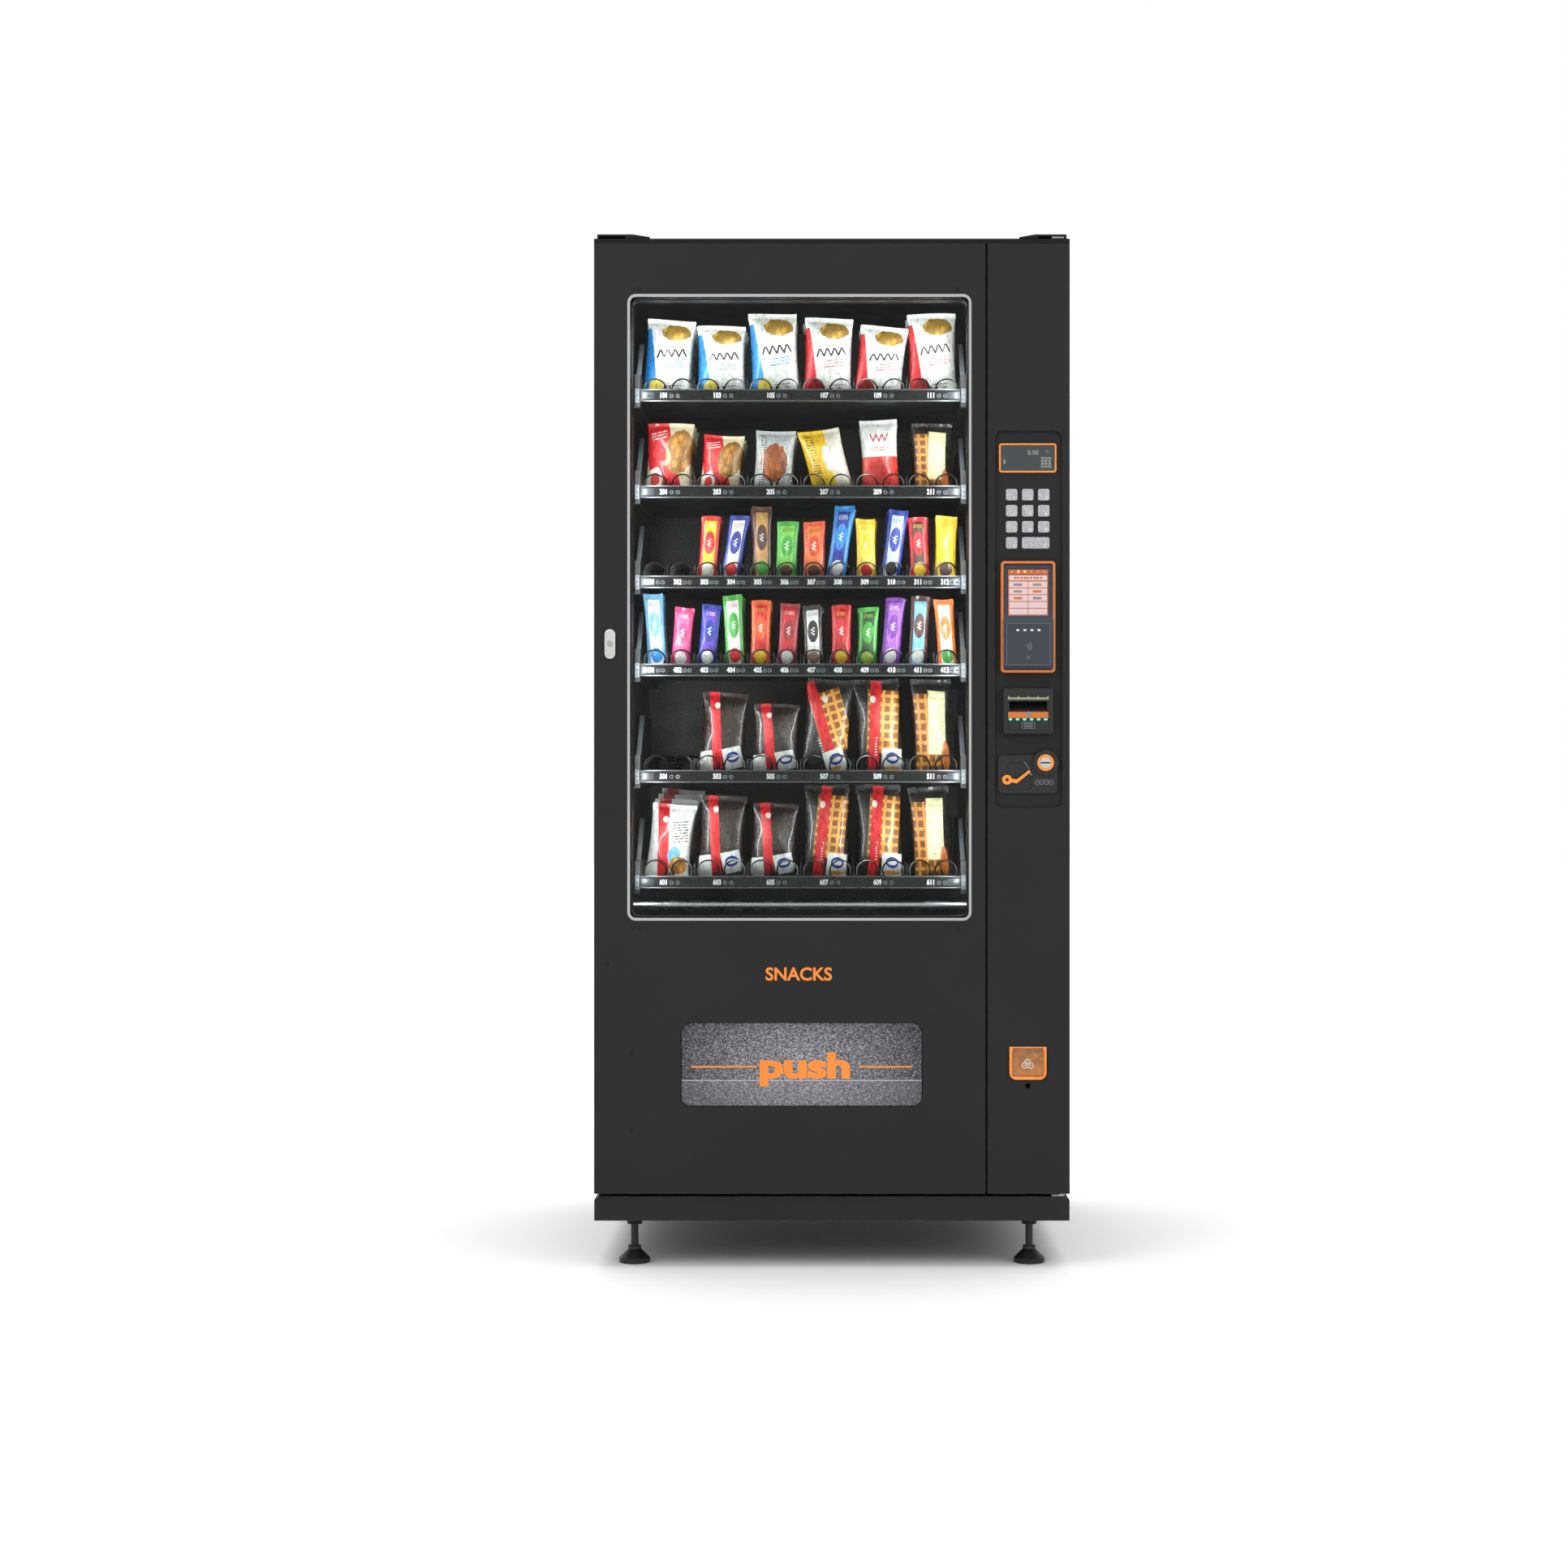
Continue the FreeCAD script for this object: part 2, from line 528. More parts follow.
def coil(x, row, hand):
    """A wire spiral along Y of tangent half rings, with the hub that the motor's shaft drives."""
    start, turn, turns = coil_run(row)
    axis_z = row_axis(row)
    hub_d = TRAY_BACK_D - HUB_INSET - COIL_HUB
    lean = turn / 4
    arcs = []
    for half in range(2 * turns):
        centre = V(x, FRONT_Y + start + turn * (half / 2 + 0.25), axis_z)
        side = hand if half % 2 == 0 else -hand
        rise = -1 if half % 2 == 0 else 1
        wide = V(side * COIL_R, -lean, 0)
        tall = V(0, 0, rise * COIL_R)
        arcs.append(half_ring(centre, wide, tall))
    section = Part.Wire([Part.makeCircle(COIL_WIRE, arcs[0].Vertexes[0].Point, V(0, 0, -1))])
    wire = Part.Wire(arcs).makePipeShell([section], True, True)
    hub = rod((x, hub_d, axis_z), (0, 1, 0), HUB_R, COIL_HUB)
    bore = rod((x, hub_d + HUB_ARM, axis_z), (0, 1, 0), SHAFT_R + RUNNING, COIL_HUB)
    arm_x = sorted((x, x + hand * (COIL_R + COIL_WIRE)))
    arm = box(arm_x[0], arm_x[1], hub_d, hub_d + HUB_ARM, axis_z - HUB_ARM, axis_z)
    return Part.makeCompound([wire, joined(hub, arm).cut(bore)])


def coils():
    names = {(3, 0): "coil_301", (3, 1): "coil_302", (5, 0): "coil_501_left", (5, 1): "coil_501_right"}
    fixed = []
    for row in range(1, 7):
        for index in range(COILS):
            hand = -1 if row in WIDE_ROWS and index % 2 else 1
            spiral = coil(coil_x(index), row, hand)
            if (row, index) in names:
                save(names[(row, index)], *spiral.Solids)
            else:
                fixed += spiral.Solids
    save("coils_fixed", *fixed)


def stock_sizes(row, lane):
    """Width, height and belly of a lane's packets, which fit between its walls, coils and the row above."""
    _, pitch, _ = coil_run(row)
    width = LANE * len(lane) - (WIDE_PACK_GAP if row in WIDE_ROWS else NARROW_PACK_GAP)
    return width, row_clear(row) - HEAD_GAPS[row - 1], pitch * BELLY_SHARE


def packet(x, d, foot, width, height, belly):
    """A pillow packet standing between two turns of wire, thin at its foot and its head."""
    side = [V(x - width / 2, FRONT_Y + d, foot), V(x - width / 2, FRONT_Y + d, foot + height)]
    arcs = [Part.Arc(side[0], V(x - width / 2, FRONT_Y + d - belly / 2, foot + height / 2), side[1]),
            Part.Arc(side[1], V(x - width / 2, FRONT_Y + d + belly / 2, foot + height / 2), side[0])]
    return Part.Face(Part.Wire([a.toShape() for a in arcs])).extrude(V(width, 0, 0))


def stock():
    packets = []
    for row in range(1, 7):
        start, turn, turns = coil_run(row)
        foot = row_floor(row) + COIL_LIFT + 2 * COIL_WIRE + FOOT_OVER_WIRE
        for number, lane in enumerate(lanes(row), 1):
            if (row, number) in EMPTY_LANES:
                continue
            x = sum(coil_x(i) for i in lane) / len(lane)
            width, height, belly = stock_sizes(row, lane)
            for place in range(1, 1 + min(STOCK_DEEP, turns - 1)):
                packets.append(packet(x, start + turn * (place + 0.25), foot, width, height, belly))
    save("stock_packets", *packets)


def led_strips():
    """A light strip up each side of the product room, just behind the door, and one along its ceiling."""
    d0 = CABINET_D + 10.0
    foot, top = WINDOW_BOTTOM + 40.0, ROOM_TOP
    strips = [box(ROOM_LEFT, ROOM_LEFT + 7.0, d0, d0 + 20.0, foot, top - 6.0),
              box(ROOM_RIGHT - 7.0, ROOM_RIGHT, d0, d0 + 20.0, foot, top - 6.0),
              box(ROOM_LEFT + 12.0, ROOM_RIGHT - 12.0, d0, d0 + 28.0, top - 9.0, top)]
    save("led_strips", *strips)


def chute_bar():
    """A round bar across the room, halfway from the delivery bin's top to the lowest shelf's rails."""
    z = (BIN_TALL + row_floor(6) - TRAY_SHEET - TRAY_DROP - RAIL_SHEET) / 2
    d = BIN_DEEP - 16.0
    bar = rod((ROOM_LEFT + 3.0, d, z), (1, 0, 0), 9.0, ROOM_RIGHT - ROOM_LEFT - 6.0)
    ends = [box(ROOM_LEFT, ROOM_LEFT + 3.0, d - 16.0, d + 60.0, z - 16.0, z + 12.0),
            box(ROOM_RIGHT - 3.0, ROOM_RIGHT, d - 16.0, d + 60.0, z - 16.0, z + 12.0)]
    save("chute_bar", joined(bar, *ends))


def control_box():
    x0 = ROOM_RIGHT + PARTITION
    case = box(x0, x0 + 110.0, 430.0, 700.0, 1180.0, 1500.0)
    save("control_box", case.makeFillet(3.0, [e for e in case.Edges if e.Vertexes[0].X > x0 + 1.0
                                              and e.Vertexes[1].X > x0 + 1.0]))


# ---------------------------------------------------------------- door
def front_corners(block, d):
    """A block's upright edges in the plane d."""
    return [e for e in block.Edges if abs(e.Vertexes[0].Z - e.Vertexes[1].Z) > 1.0
            and abs(e.Vertexes[0].Y - FRONT_Y - d) < 1e-6]


def pan(x0, x1, round_x, returns):
    """A sheet facing the front, folded back along its outer side and its foot."""
    outer = box(x0, x1, 0.0, SKIN_RETURN, DOOR_BOTTOM, SKIN_TOP)
    edge = [e for e in front_corners(outer, 0.0) if abs(e.Vertexes[0].X - round_x) < 1e-6]
    outer = outer.makeFillet(EDGE_R, edge)
    left, right = returns
    inner = box(x0 + (SHEET if left else -1.0), x1 - (SHEET if right else -1.0), SHEET, SKIN_RETURN + 1.0,
                DOOR_BOTTOM + SHEET, SKIN_TOP + 1.0)
    inside_x = round_x + (SHEET if left else -SHEET)
    edge = [e for e in front_corners(inner, SHEET) if abs(e.Vertexes[0].X - inside_x) < 1e-6]
    return outer.cut(inner.makeFillet(EDGE_R - SHEET, edge))


def door_skin():
    skin = pan(LEFT, SEAM_X0, LEFT, (True, False))
    window = plate(WINDOW_X0 + TRIM_LAP, WINDOW_X1 - TRIM_LAP, -1.0, SHEET + 1.0,
                   WINDOW_BOTTOM + TRIM_LAP, WINDOW_TOP - TRIM_LAP, WINDOW_R - TRIM_LAP)
    mouth = plate(FLAP_X0, FLAP_X1, -1.0, SHEET + 1.0, FLAP_BOTTOM, FLAP_TOP, FLAP_R)
    barrel = rod((LOCK_X, -1.0, LOCK_Z), (0, 1, 0), LOCK_BARREL_R + 1.5, 4.0)
    save("door_skin", skin.cut([window, mouth, barrel]))


def key_places():
    """Name, centre x, centre z and width of each key."""
    keys = []
    for number in range(1, 10):
        column = (number - 1) % 3 - 1
        row = (number - 1) // 3
        keys.append(("key_%d" % number, DEVICE_X + column * KEY_PITCH, KEY_ROW_Z - row * KEY_PITCH, KEY))
    last = KEY_ROW_Z - 3 * KEY_PITCH
    keys.append(("key_0", DEVICE_X - KEY_PITCH, last, KEY))
    keys.append(("key_clear", DEVICE_X + KEY_PITCH / 2, last, KEY + KEY_PITCH))
    return keys


def device_rect(size, z, shrink=0.0):
    x0, x1 = centred(size[0] - 2 * shrink, DEVICE_X)
    z0, z1 = centred(size[1] - 2 * shrink, z)
    return x0, x1, z0, z1


def boss_centre():
    return DEVICE_X + COIN_BOSS_IN[0], COIN_Z + COIN_BOSS_IN[1]


def column_panel():
    panel = pan(SEAM_X1, RIGHT, RIGHT, (False, True))
    tub = plate(RECESS_X0 - SHEET, RECESS_X1 + SHEET, 0.5, RECESS_BACK, RECESS_BOTTOM - SHEET,
                RECESS_TOP + SHEET, RECESS_R + SHEET)
    hollow = plate(RECESS_X0, RECESS_X1, -1.0, RECESS_DEEP, RECESS_BOTTOM, RECESS_TOP, RECESS_R)
    panel = panel.fuse(tub).cut(hollow)
    cuts = []
    for _, x, z, width in key_places():
        half = width / 2 + KEY_HOLE_GAP
        tall = KEY / 2 + KEY_HOLE_GAP
        cuts.append(plate(x - half, x + half, 0.0, RECESS_BACK + 1.0, z - tall, z + tall, KEY_R + KEY_HOLE_GAP))
    for size, z, shrink in ((DISPLAY, DISPLAY_Z, DISPLAY_BAND + 2.0), (CARD, CARD_Z, CARD_BAND + 3.0),
                            (BILL, BILL_Z, 5.0)):
        x0, x1, z0, z1 = device_rect(size, z, shrink)
        cuts.append(box(x0, x1, 0.0, RECESS_BACK + 1.0, z0, z1))
    boss_x, boss_z = boss_centre()
    cuts.append(box(boss_x - 4.0, boss_x + 4.0, 0.0, RECESS_BACK + 1.0, boss_z - 12.0, boss_z + 12.0))
    x0, x1, z0, z1 = device_rect(CUP, CUP_Z, CUP_BAND)
    cuts.append(box(x0, x1, -1.0, SHEET + 1.0, z0, z1 + CUP_BAND))
    cuts.append(rod((HINGE_X, HINGE_D, DOOR_BOTTOM - 1.0), (0, 0, 1), HINGE_PIN_R + 1.0, SHEET + 2.0))
    cuts.append(rod((DEVICE_X, -1.0, CUP_Z - 42.0), (0, 1, 0), 4.7, 4.0))
    save("column_panel", panel.cut(cuts).removeSplitter())


def door_frame():
    """The welded frame between the skins and the inner panel: bars folded from sheet, open at the rear."""
    t = 2.0
    rear = DOOR_THICK - 2.0
    x0, x1 = LEFT + SHEET, RIGHT - SHEET
    z0, z1 = DOOR_BOTTOM + SHEET, DOOR_TOP
    block = box(x0, x1, SHEET, rear, z0, z1)
    block = block.makeFillet(EDGE_R - SHEET, front_corners(block, SHEET))
    window = plate(WINDOW_X0 + TRIM_FACE + 2.0, WINDOW_X1 - TRIM_FACE - 2.0, 0.0, rear + 1.0,
                   WINDOW_BOTTOM + TRIM_FACE + 2.0, WINDOW_TOP - TRIM_FACE - 2.0, WINDOW_R - TRIM_FACE)
    glass_deep = GLASS_FRONT_D + 2 * GLASS_THICK + GLASS_CAVITY
    rebate = box(WINDOW_X0 - GLASS_LAP + 4.0, WINDOW_X1 + GLASS_LAP - 4.0, 0.0, glass_deep,
                 WINDOW_BOTTOM - GLASS_LAP + 4.0, WINDOW_TOP + GLASS_LAP - 4.0)
    bx0, bx1 = bin_sides()
    mouth = box(bx0, bx1, 0.0, rear + 1.0, FLAP_BOTTOM - 14.0, FLAP_TOP + 4.0)
    # the payment column is open from the frame's foot bar to its head bar, between two uprights
    col_x0 = SEAM_X1 + 12.0
    col_x1 = RECESS_X1 - 6.0
    foot_z = DOOR_BOTTOM + 62.0
    head_z = RECESS_TOP + 34.0
    column = box(col_x0, col_x1, 0.0, rear + 1.0, foot_z, head_z)
    tub = box(RECESS_X0 - SHEET - 1.0, RECESS_X1 + SHEET + 1.0, 0.0, RECESS_BACK + 1.0,
              RECESS_BOTTOM - SHEET - 1.0, RECESS_TOP + SHEET + 1.0)
    groove = box(SEAM_X0 - 1.5, SEAM_X1 + 1.5, 0.0, SEAM_DEEP, z0 - 1.0, SKIN_TOP)
    pockets = []
    win_x0 = WINDOW_X0 - GLASS_LAP + 4.0 - t
    win_x1 = WINDOW_X1 + GLASS_LAP - 4.0 + t
    bars = ((x0 + t, win_x0, SKIN_RETURN + 2.0, z0 + t, z1 - t),
            (win_x1, col_x0 - t, SEAM_DEEP + t, foot_z, z1 - t),
            (win_x0, win_x1, SHEET + t, WINDOW_TOP + GLASS_LAP + t, z1 - t),
            (win_x0, win_x1, SHEET + t, FLAP_TOP + 4.0 + t, WINDOW_BOTTOM - GLASS_LAP - t),
            (win_x0, win_x1, SHEET + t, z0 + t, FLAP_BOTTOM - 14.0 - t),
            (col_x0 - t, HINGE_X - 20.0, SHEET + t, z0 + t, foot_z - t),
            (col_x0 - t, HINGE_X - 20.0, SHEET + t, head_z + t, z1 - t),
            (col_x1 + t, x1 - t, SKIN_RETURN + 2.0, foot_z, head_z))
    for px0, px1, d0, pz0, pz1 in bars:
        if px1 - px0 > 1.0 and pz1 - pz0 > 1.0:
            pockets.append(box(px0, px1, d0, rear + 1.0, pz0, pz1))
    for side_x in ((win_x0, bx0 - t), (bx1 + t, win_x1)):
        if side_x[1] - side_x[0] > 1.0:
            pockets.append(box(side_x[0], side_x[1], SHEET + t, rear + 1.0, FLAP_BOTTOM - 16.0, FLAP_TOP + 8.0))
    bores = [rod((HINGE_X, HINGE_D, z0 - 1.0), (0, 0, 1), HINGE_PIN_R + RUNNING, HINGE_PIN_LONG + 4.0),
             rod((HINGE_X, HINGE_D, z1 - HINGE_PIN_LONG - 2.0), (0, 0, 1), HINGE_PIN_R + RUNNING,
                 HINGE_PIN_LONG + 4.0),
             rod((LOCK_X, 0.0, LOCK_Z), (0, 1, 0), LOCK_BARREL_R + RUNNING, 70.0)]
    guide = rod((LOCK_X, SHEET, LOCK_Z), (0, 1, 0), LOCK_BARREL_R + 5.0, 44.0)
    lip = box(LEFT, RIGHT, 0.0, SKIN_RETURN, SKIN_TOP + FIT, DOOR_TOP)
    lip = lip.makeFillet(EDGE_R, front_corners(lip, 0.0))
    frame = block.cut([window, rebate, mouth, column, tub, groove]).cut(pockets)
    frame = frame.fuse([guide, lip]).cut(bores)
    save("door_frame", frame.removeSplitter())


def window_trim():
    lap = plate(WINDOW_X0, WINDOW_X1, -TRIM_PROUD, 0.0, WINDOW_BOTTOM, WINDOW_TOP, WINDOW_R)
    leg = plate(WINDOW_X0 + TRIM_LAP + 0.2, WINDOW_X1 - TRIM_LAP - 0.2, 0.0, GLASS_FRONT_D,
                WINDOW_BOTTOM + TRIM_LAP + 0.2, WINDOW_TOP - TRIM_LAP - 0.2, WINDOW_R - TRIM_LAP)
    hole = plate(WINDOW_X0 + TRIM_FACE, WINDOW_X1 - TRIM_FACE, -5.0, GLASS_FRONT_D + 1.0,
                 WINDOW_BOTTOM + TRIM_FACE, WINDOW_TOP - TRIM_FACE, WINDOW_R - TRIM_FACE)
    save("window_trim", lap.fuse(leg).cut(hole).removeSplitter())


def window_glass():
    panes = []
    for d0 in (GLASS_FRONT_D, GLASS_FRONT_D + GLASS_THICK + GLASS_CAVITY):
        panes.append(box(WINDOW_X0 - 3.0, WINDOW_X1 + 3.0, d0, d0 + GLASS_THICK,
                         WINDOW_BOTTOM - 3.0, WINDOW_TOP + 3.0))
    save("window_glass", *panes)


def door_inner_panel():
    panel = box(LEFT + 3.0, RIGHT - 3.0, DOOR_THICK - 2.0, DOOR_THICK, DOOR_BOTTOM + 3.0, DOOR_TOP - 3.0)
    window = plate(WINDOW_X0 + 2.0, WINDOW_X1 - 2.0, DOOR_THICK - 3.0, DOOR_THICK + 1.0,
                   WINDOW_BOTTOM + 2.0, WINDOW_TOP - 2.0, WINDOW_R)
    bx0, bx1 = bin_sides()
    mouth = box(bx0, bx1, DOOR_THICK - 3.0, DOOR_THICK + 1.0, FLAP_BOTTOM - 14.0, FLAP_TOP + 4.0)
    column = box(SEAM_X1 + 12.0, RECESS_X1 - 6.0, DOOR_THICK - 3.0, DOOR_THICK + 1.0,
                 DOOR_BOTTOM + 62.0, RECESS_TOP + 34.0)
    barrel = rod((LOCK_X, DOOR_THICK - 3.0, LOCK_Z), (0, 1, 0), LOCK_BARREL_R + 1.5, 4.0)
    save("door_inner_panel", panel.cut([window, mouth, column, barrel]))


def door_gasket():
    x0, x1, z0, z1 = ROOM_LEFT - 22.0, ROOM_RIGHT + PARTITION + 2.0, BASE_TOP + 14.0, ROOF - 9.0
    wide = 14.0
    outer = plate(x0, x1, DOOR_THICK, DOOR_THICK + GASKET_THICK, z0, z1, 10.0)
    inner = plate(x0 + wide, x1 - wide + 1.0, DOOR_THICK - 1.0, DOOR_THICK + GASKET_THICK + 1.0,
                  z0 + wide, z1 - wide, 4.0)
    save("door_gasket", outer.cut(inner))


def screw_places():
    """Small round-head screws of the door skins, as (x, z)."""
    inset = 9.5
    window_corners = [(x, z) for x in (WINDOW_X0 + 21.0, WINDOW_X1 - 25.0)
                      for z in (WINDOW_TOP + inset, WINDOW_BOTTOM - inset - 5.0)]
    flap_side = [(LEFT + 68.0, FLAP_BOTTOM + 100.0), (LEFT + 68.0, FLAP_TOP - 200.0)]
    return window_corners + flap_side + [(LEFT + 24.5, WINDOW_BOTTOM - 79.0)]


def door_screws():
    screws = []
    for x, z in screw_places():
        head = rod((x, -1.2, z), (0, 1, 0), 3.4, 1.2)
        rim = [e for e in head.Edges if all(v.Y < FRONT_Y - 1.0 for v in e.Vertexes) and e.Length > 15.0]
        screws.append(head.makeFillet(0.8, rim))
    save("door_screws", *screws)


def bin_sides():
    return FLAP_X0 - 2.4 - BIN_WALL, FLAP_X1 + 2.4 + BIN_WALL


def flap_axis():
    """Depth and height of the delivery flap's hinge line."""
    return 5.5, FLAP_TOP - FLAP_GAP - 4.0


def delivery_bin():
    x0, x1 = bin_sides()
    w = BIN_WALL
    floor = FLAP_BOTTOM - 14.0
    d0 = SHEET + 0.2
    behind = DOOR_THICK + 0.3
    low = box(x0, x1, d0, BIN_DEEP, floor, FLAP_TOP + 4.0)
    high = box(x0, x1, behind, BIN_DEEP, FLAP_TOP + 4.0, BIN_TALL)
    inside = box(x0 + w, x1 - w, d0 - 1.0, BIN_DEEP - w, floor + w, FLAP_TOP + 4.0 - 2.0)
    shaft = box(x0 + w, x1 - w, behind - 1.0, BIN_DEEP - w, FLAP_TOP, BIN_TALL + 1.0)
    axis_d, axis_z = flap_axis()
    bore = rod((x0 - 1.0, axis_d, axis_z), (1, 0, 0), FLAP_PIN_R + RUNNING, x1 - x0 + 2.0)
    save("delivery_bin", low.fuse(high).cut([inside, shaft, bore]).removeSplitter())


def delivery_flap():
    axis_d, axis_z = flap_axis()
    d0 = axis_d - FLAP_THICK / 2
    panel = plate(FLAP_X0 + FLAP_GAP, FLAP_X1 - FLAP_GAP, d0, d0 + FLAP_THICK, FLAP_BOTTOM + FLAP_GAP,
                  FLAP_TOP - FLAP_GAP, FLAP_R - FLAP_GAP)
    pin_x0, pin_x1 = FLAP_X0 - 2.4 - 2.0, FLAP_X1 + 2.4 + 2.0
    pins = rod((pin_x0, axis_d, axis_z), (1, 0, 0), FLAP_PIN_R, pin_x1 - pin_x0)
    barrel = rod((FLAP_X0 + FLAP_R + 2.0, axis_d, axis_z), (1, 0, 0), FLAP_THICK / 2, 2.0)
    save("delivery_flap", joined(panel, pins, barrel))


def lock():
    barrel = rod((LOCK_X, -5.4, LOCK_Z), (0, 1, 0), LOCK_BARREL_R, 5.4 + 56.0)
    save("lock_barrel", barrel)
    handle = soft_plate(LOCK_X - LOCK_PLATE[0] / 2, LOCK_X + LOCK_PLATE[0] / 2, -5.0, -0.5,
                        LOCK_Z - LOCK_PLATE[1] / 2, LOCK_Z + LOCK_PLATE[1] / 2, LOCK_PLATE[0] / 2 - 0.2, 1.6)
    bore = rod((LOCK_X, -6.0, LOCK_Z), (0, 1, 0), LOCK_BARREL_R + RUNNING, 10.0)
    save("lock_handle", handle.cut(bore))


# ---------------------------------------------------------------- payment column
def display():
    x0, x1, z0, z1 = device_rect(DISPLAY, DISPLAY_Z)
    band = DISPLAY_BAND
    outer = soft_plate(x0, x1, RECESS_DEEP - 3.5, RECESS_DEEP, z0, z1, 5.0, 0.8)
    inner = plate(x0 + band, x1 - band, 0.0, RECESS_DEEP + 1.0, z0 + band, z1 - band, 2.5)
    save("display_frame", outer.cut(inner))
    front = box(x0 + band, x1 - band, RECESS_DEEP - 2.0, RECESS_DEEP, z0 + band, z1 - band)
    front = front.makeFillet(2.5, [e for e in front.Edges if abs(e.Vertexes[0].Y - e.Vertexes[1].Y) > 1.0])
    step = band + 3.0
    body = box(x0 + step, x1 - step, RECESS_DEEP, RECESS_DEEP + 16.0, z0 + step, z1 - step)
    save("display_screen", joined(front, body))


def keys():
    for name, x, z, width in key_places():
        half = width / 2
        cap = soft_plate(x - half, x + half, RECESS_DEEP - KEY_PROUD, RECESS_BACK + 2.0, z - KEY / 2, z + KEY / 2,
                         KEY_R, 1.0)
        grow = KEY_HOLE_GAP + KEY_FLANGE
        flange = box(x - half - grow, x + half + grow, RECESS_BACK + FIT, RECESS_BACK + FIT + 1.6,
                     z - KEY / 2 - grow, z + KEY / 2 + grow)
        stem = box(x - 4.0, x + 4.0, RECESS_BACK + FIT, RECESS_BACK + 5.5, z - 4.0, z + 4.0)
        save(name, joined(cap, flange, stem))


def keypad_board():
    """The switch board behind the keys, on four posts."""
    front = RECESS_BACK + 5.5 + KEY_TRAVEL + FIT
    half = KEY_PITCH + KEY / 2 + 8.5
    z1 = KEY_ROW_Z + KEY / 2 + 8.5
    z0 = KEY_ROW_Z - 3 * KEY_PITCH - KEY / 2 - 8.5
    board = box(DEVICE_X - half, DEVICE_X + half, front, front + 1.6, z0, z1)
    posts = [rod((x, RECESS_BACK, z), (0, 1, 0), 2.5, front - RECESS_BACK)
             for x in (DEVICE_X - half + 3.0, DEVICE_X + half - 3.0) for z in (z0 + 3.0, z1 - 3.0)]
    save("keypad_board", joined(board, *posts))


def card_reader():
    x0, x1, z0, z1 = device_rect(CARD, CARD_Z)
    band = CARD_BAND
    front = -9.0
    outer = soft_plate(x0, x1, front, RECESS_DEEP, z0, z1, 7.0, 1.5)
    inner = plate(x0 + band, x1 - band, front - 1.0, RECESS_DEEP + 1.0, z0 + band, z1 - band, 4.0)
    save("card_reader_frame", outer.cut(inner))
    # screen above, a step, then the pad below standing further out
    z_low, z_high = z0 + band, z1 - band
    step_z = CARD_Z + 3.0
    outline = [(RECESS_DEEP, z_low), (-6.0, z_low), (-PROUD, z_low + 8.0), (-PROUD + 1.0, step_z - 13.0),
               (-7.0, step_z), (-5.5, z_high - 6.0), (-4.0, z_high), (RECESS_DEEP, z_high)]
    head = profile_x(outline, x0 + band, x1 - band)
    head = head.common(plate(x0 + band, x1 - band, -PROUD, RECESS_DEEP, z_low, z_high, 4.0))
    shrink = CARD_BAND + 3.4
    bx0, bx1, bz0, bz1 = device_rect(CARD, CARD_Z, shrink)
    body = box(bx0, bx1, RECESS_DEEP, 60.0, bz0, bz1)
    save("card_reader", joined(head, body))


def bill_acceptor():
    x0, x1, z0, z1 = device_rect(BILL, BILL_Z)
    bezel = soft_plate(x0, x1, -11.0, RECESS_DEEP, z0, z1, 4.0, 2.0)
    shrink = 5.4
    bx0, bx1, bz0, bz1 = device_rect(BILL, BILL_Z, shrink)
    body = box(bx0, bx1, RECESS_DEEP, DEVICE_DEEP, bz0, bz1)
    slot_x = centred(BILL_SLOT[0], DEVICE_X)
    slot_z = BILL_Z + 12.0
    slot = box(slot_x[0], slot_x[1], -12.0, 70.0, slot_z, slot_z + BILL_SLOT[1])
    throat = profile_x([(-12.0, slot_z - 15.0), (-12.0, slot_z + 1.0), (4.0, slot_z + 1.0)], slot_x[0], slot_x[1])
    save("bill_acceptor", joined(bezel, body).cut([slot, throat]))


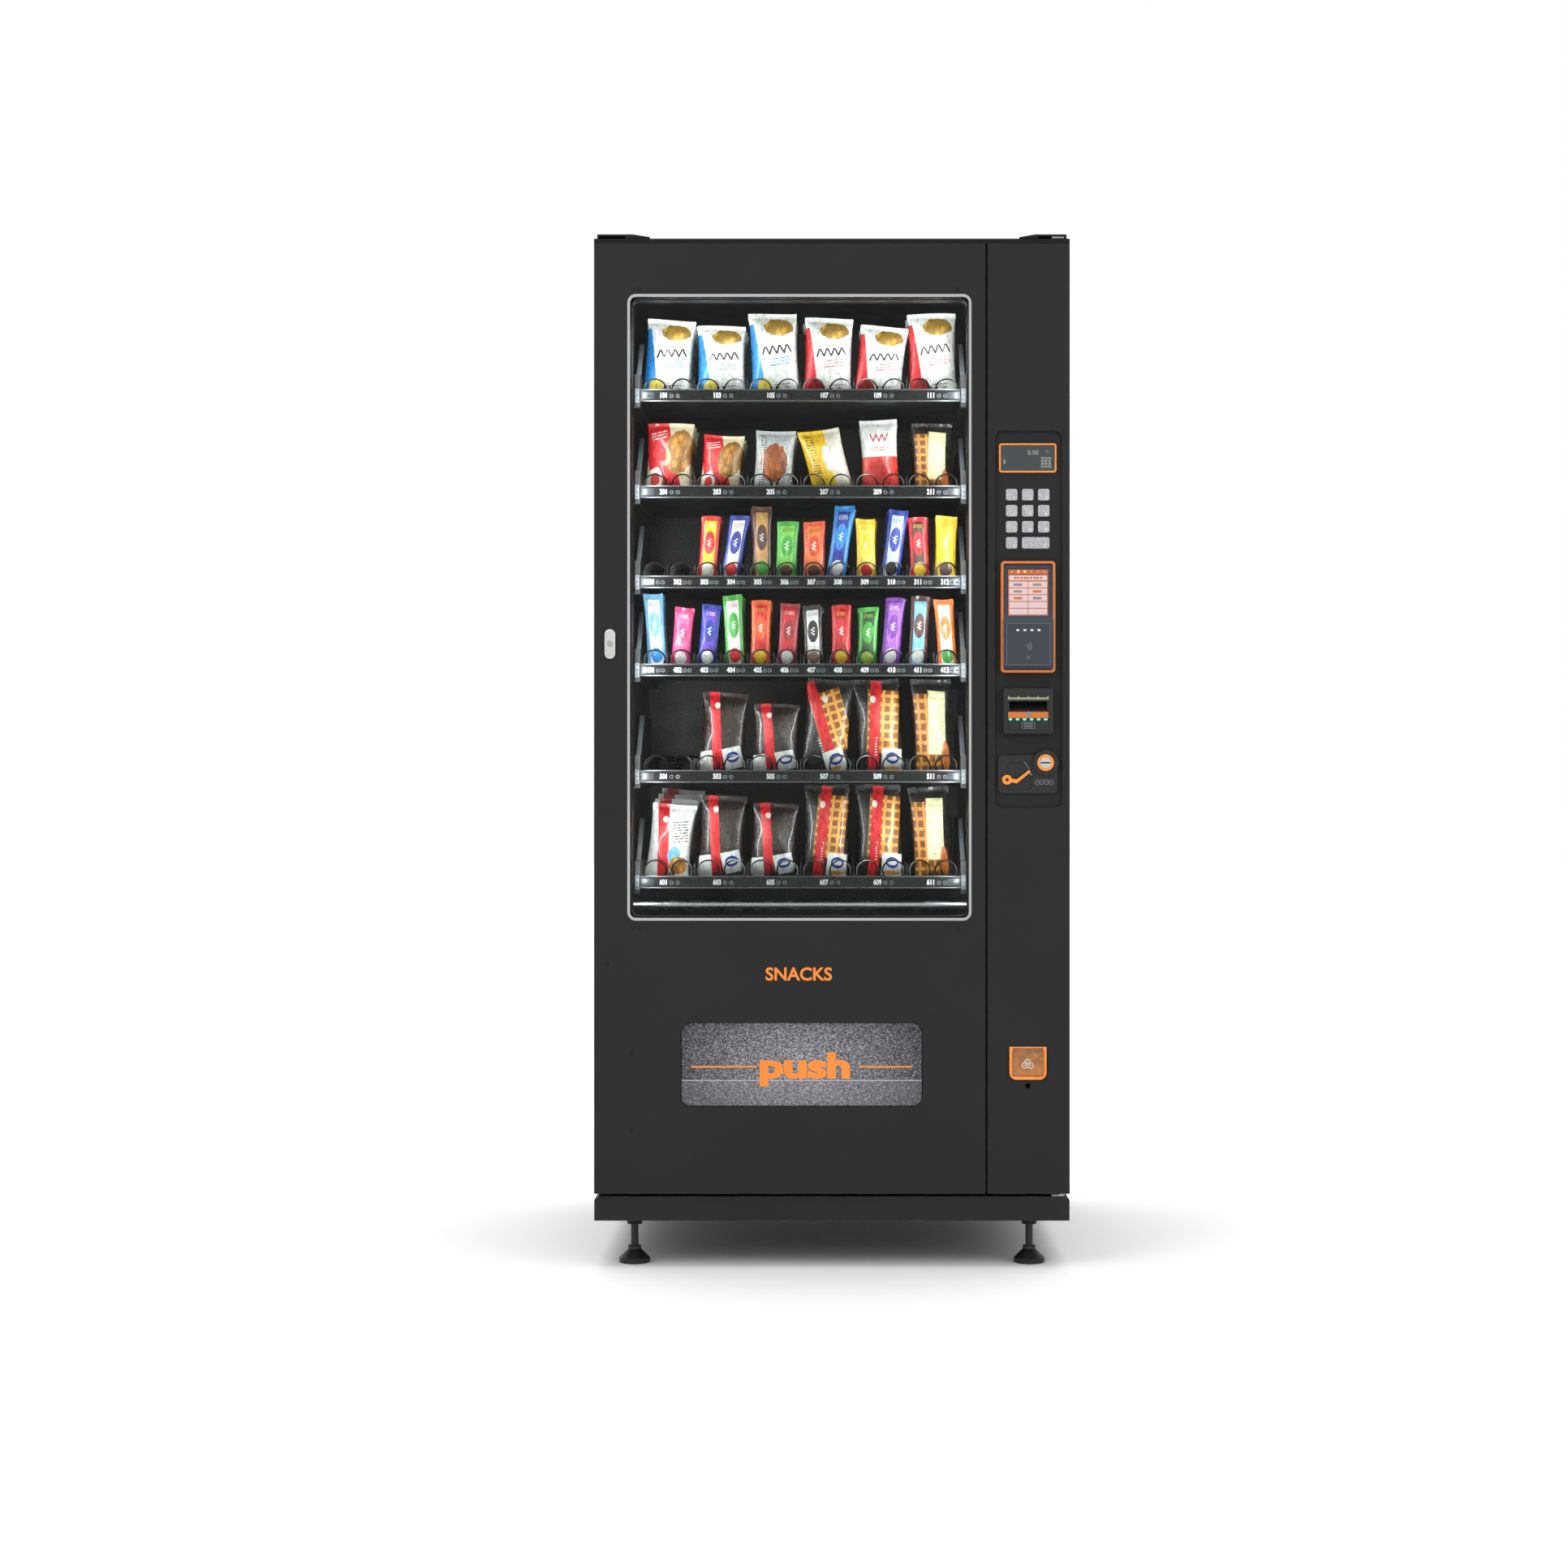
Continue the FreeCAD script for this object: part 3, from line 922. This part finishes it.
def coin_unit():
    x0, x1, z0, z1 = device_rect(COIN, COIN_Z)
    front = RECESS_DEEP - COIN_PLATE_PROUD
    base = soft_plate(x0, x1, front, RECESS_DEEP, z0, z1, 10.0, 1.2)
    boss_x, boss_z = boss_centre()
    boss = rod((boss_x, front - 7.0, boss_z), (0, 1, 0), COIN_BOSS_R, 7.0 + COIN_PLATE_PROUD)
    slot = box(boss_x - COIN_SLOT[1] / 2, boss_x + COIN_SLOT[1] / 2, front - 8.0, RECESS_DEEP + 1.0,
               boss_z - COIN_SLOT[0] / 2, boss_z + COIN_SLOT[0] / 2)
    pivot_x, pivot_z = DEVICE_X + LEVER_PIVOT[0], COIN_Z + LEVER_PIVOT[1]
    pocket = plate(pivot_x, pivot_x + 46.0, front - 1.0, RECESS_DEEP - 1.5, COIN_Z - 29.5, COIN_Z + 22.5, 5.0)
    post = rod((pivot_x, front - 5.0, pivot_z), (0, 1, 0), 3.0, 5.0)
    hub_seat = rod((pivot_x, front, pivot_z), (0, 1, 0), LEVER_HUB_R + 1.0, COIN_PLATE_PROUD)
    plate_solid = joined(base, boss).cut([slot, pocket]).fuse([hub_seat, post])
    save("coin_plate", plate_solid.removeSplitter())
    arm_d0, arm_d1 = front - 4.6, front - FIT
    hub = rod((pivot_x, arm_d0, pivot_z), (0, 1, 0), LEVER_HUB_R, arm_d1 - arm_d0)
    knee_x, knee_z = pivot_x + 18.0, pivot_z - 3.0
    tip_x, tip_z = pivot_x + LEVER_TIP[0], pivot_z + LEVER_TIP[1]
    half = LEVER_ARM / 2
    arm = profile_y([(pivot_x, pivot_z - half), (knee_x, knee_z - half), (tip_x, tip_z - half * 0.8),
                     (tip_x, tip_z + half * 0.8), (knee_x, knee_z + half), (pivot_x, pivot_z + half)],
                    arm_d0 + 0.6, arm_d1)
    tip = rod((tip_x, arm_d0 + 0.6, tip_z), (0, 1, 0), half * 0.8, arm_d1 - arm_d0 - 0.6)
    bore = rod((pivot_x, arm_d0 - 1.0, pivot_z), (0, 1, 0), 3.0 + RUNNING, 8.0)
    save("coin_lever", joined(hub, arm, tip).cut(bore))


def coin_changer():
    half = 51.0
    top = RECESS_BOTTOM - SHEET - 6.0
    case = box(DEVICE_X - half, DEVICE_X + half, 14.0, 14.0 + CHANGER_DEEP, top - CHANGER_TALL, top)
    # the coin path up to the slot, and the chute down to the cup
    boss_x, boss_z = boss_centre()
    path = box(boss_x - 12.0, boss_x + 12.0, RECESS_BACK, 30.0, top - 6.0, boss_z + 14.0)
    channel = box(boss_x - 10.0, boss_x + 10.0, RECESS_BACK - 1.0, 26.0, boss_z - 8.0, boss_z + 8.0)
    chute = box(DEVICE_X - 14.0, DEVICE_X + 14.0, CUP_DEEP - 14.0, CUP_DEEP, CUP_Z + CUP[1] / 2 + 2.0,
                top - CHANGER_TALL)
    save("coin_changer", joined(case, path, chute).cut(channel))


def cup_axis():
    return 0.6, CUP_Z + CUP[1] / 2 - 4.2


def coin_return():
    x0, x1, z0, z1 = device_rect(CUP, CUP_Z)
    band = CUP_BAND
    face = plate(x0, x1, -4.0, 0.0, z0, z1 + CUP_R, CUP_R).common(box(x0, x1, -4.0, 0.0, z0, z1))
    mouth = plate(x0 + band, x1 - band, -5.0, 1.0, z0 + band, z1 + CUP_R + 5.0, CUP_R - band)
    cheeks = face.cut(mouth)
    ix0, ix1, iz0, iz1 = device_rect(CUP, CUP_Z, band + 0.4)
    shell = box(ix0, ix1, 0.0, CUP_DEEP, iz0, iz1 + band)
    inside = plate(ix0 + 2.0, ix1 - 2.0, -1.0, CUP_DEEP - 2.0, iz0 + 2.0, iz1 + band - 2.0, 1.0)
    drop = box(DEVICE_X - 13.0, DEVICE_X + 13.0, CUP_DEEP - 13.0, CUP_DEEP - 2.0, iz1, iz1 + band + 1.0)
    lip = box(ix0, ix1, -4.0, 0.0, iz0, iz0 + 1.6)
    axis_d, axis_z = cup_axis()
    bore = rod((ix0 - 1.0, axis_d, axis_z), (1, 0, 0), 1.5 + RUNNING, ix1 - ix0 + 2.0)
    ears = [box(ix0, ix0 + 2.0, -3.0, 0.5, axis_z - 4.0, z1), box(ix1 - 2.0, ix1, -3.0, 0.5, axis_z - 4.0, z1)]
    cup = joined(cheeks, shell, lip, *ears).cut([inside, drop]).fuse(ears).cut(bore)
    save("coin_cup", cup.removeSplitter())
    half = (ix1 - ix0) / 2 - 2.0 - 0.6
    d0, d1 = axis_d - 1.5, axis_d + 1.5
    flap = plate(DEVICE_X - half, DEVICE_X + half, d0, d1, iz0 + 3.0, axis_z, 1.4)
    pins = rod((ix0 + 0.4, axis_d, axis_z), (1, 0, 0), 1.5, ix1 - ix0 - 0.8)
    save("coin_flap", joined(flap, pins))


# ---------------------------------------------------------------- build
def main():
    os.makedirs("parts", exist_ok=True)
    for make in (outer_wrap, rear_panel, power_inlet, inner_liner, insulation, partition_wall, base_frame, feet,
                 roof_covers, hinge_brackets, trays, price_strips, tray_rails, coil_motors, coils, stock,
                 led_strips, chute_bar, control_box, door_skin, column_panel, door_frame, window_trim,
                 window_glass, door_inner_panel, door_gasket, door_screws, delivery_bin, delivery_flap, lock,
                 display, keys, keypad_board, card_reader, bill_acceptor, coin_unit, coin_changer, coin_return):
        make()


main()
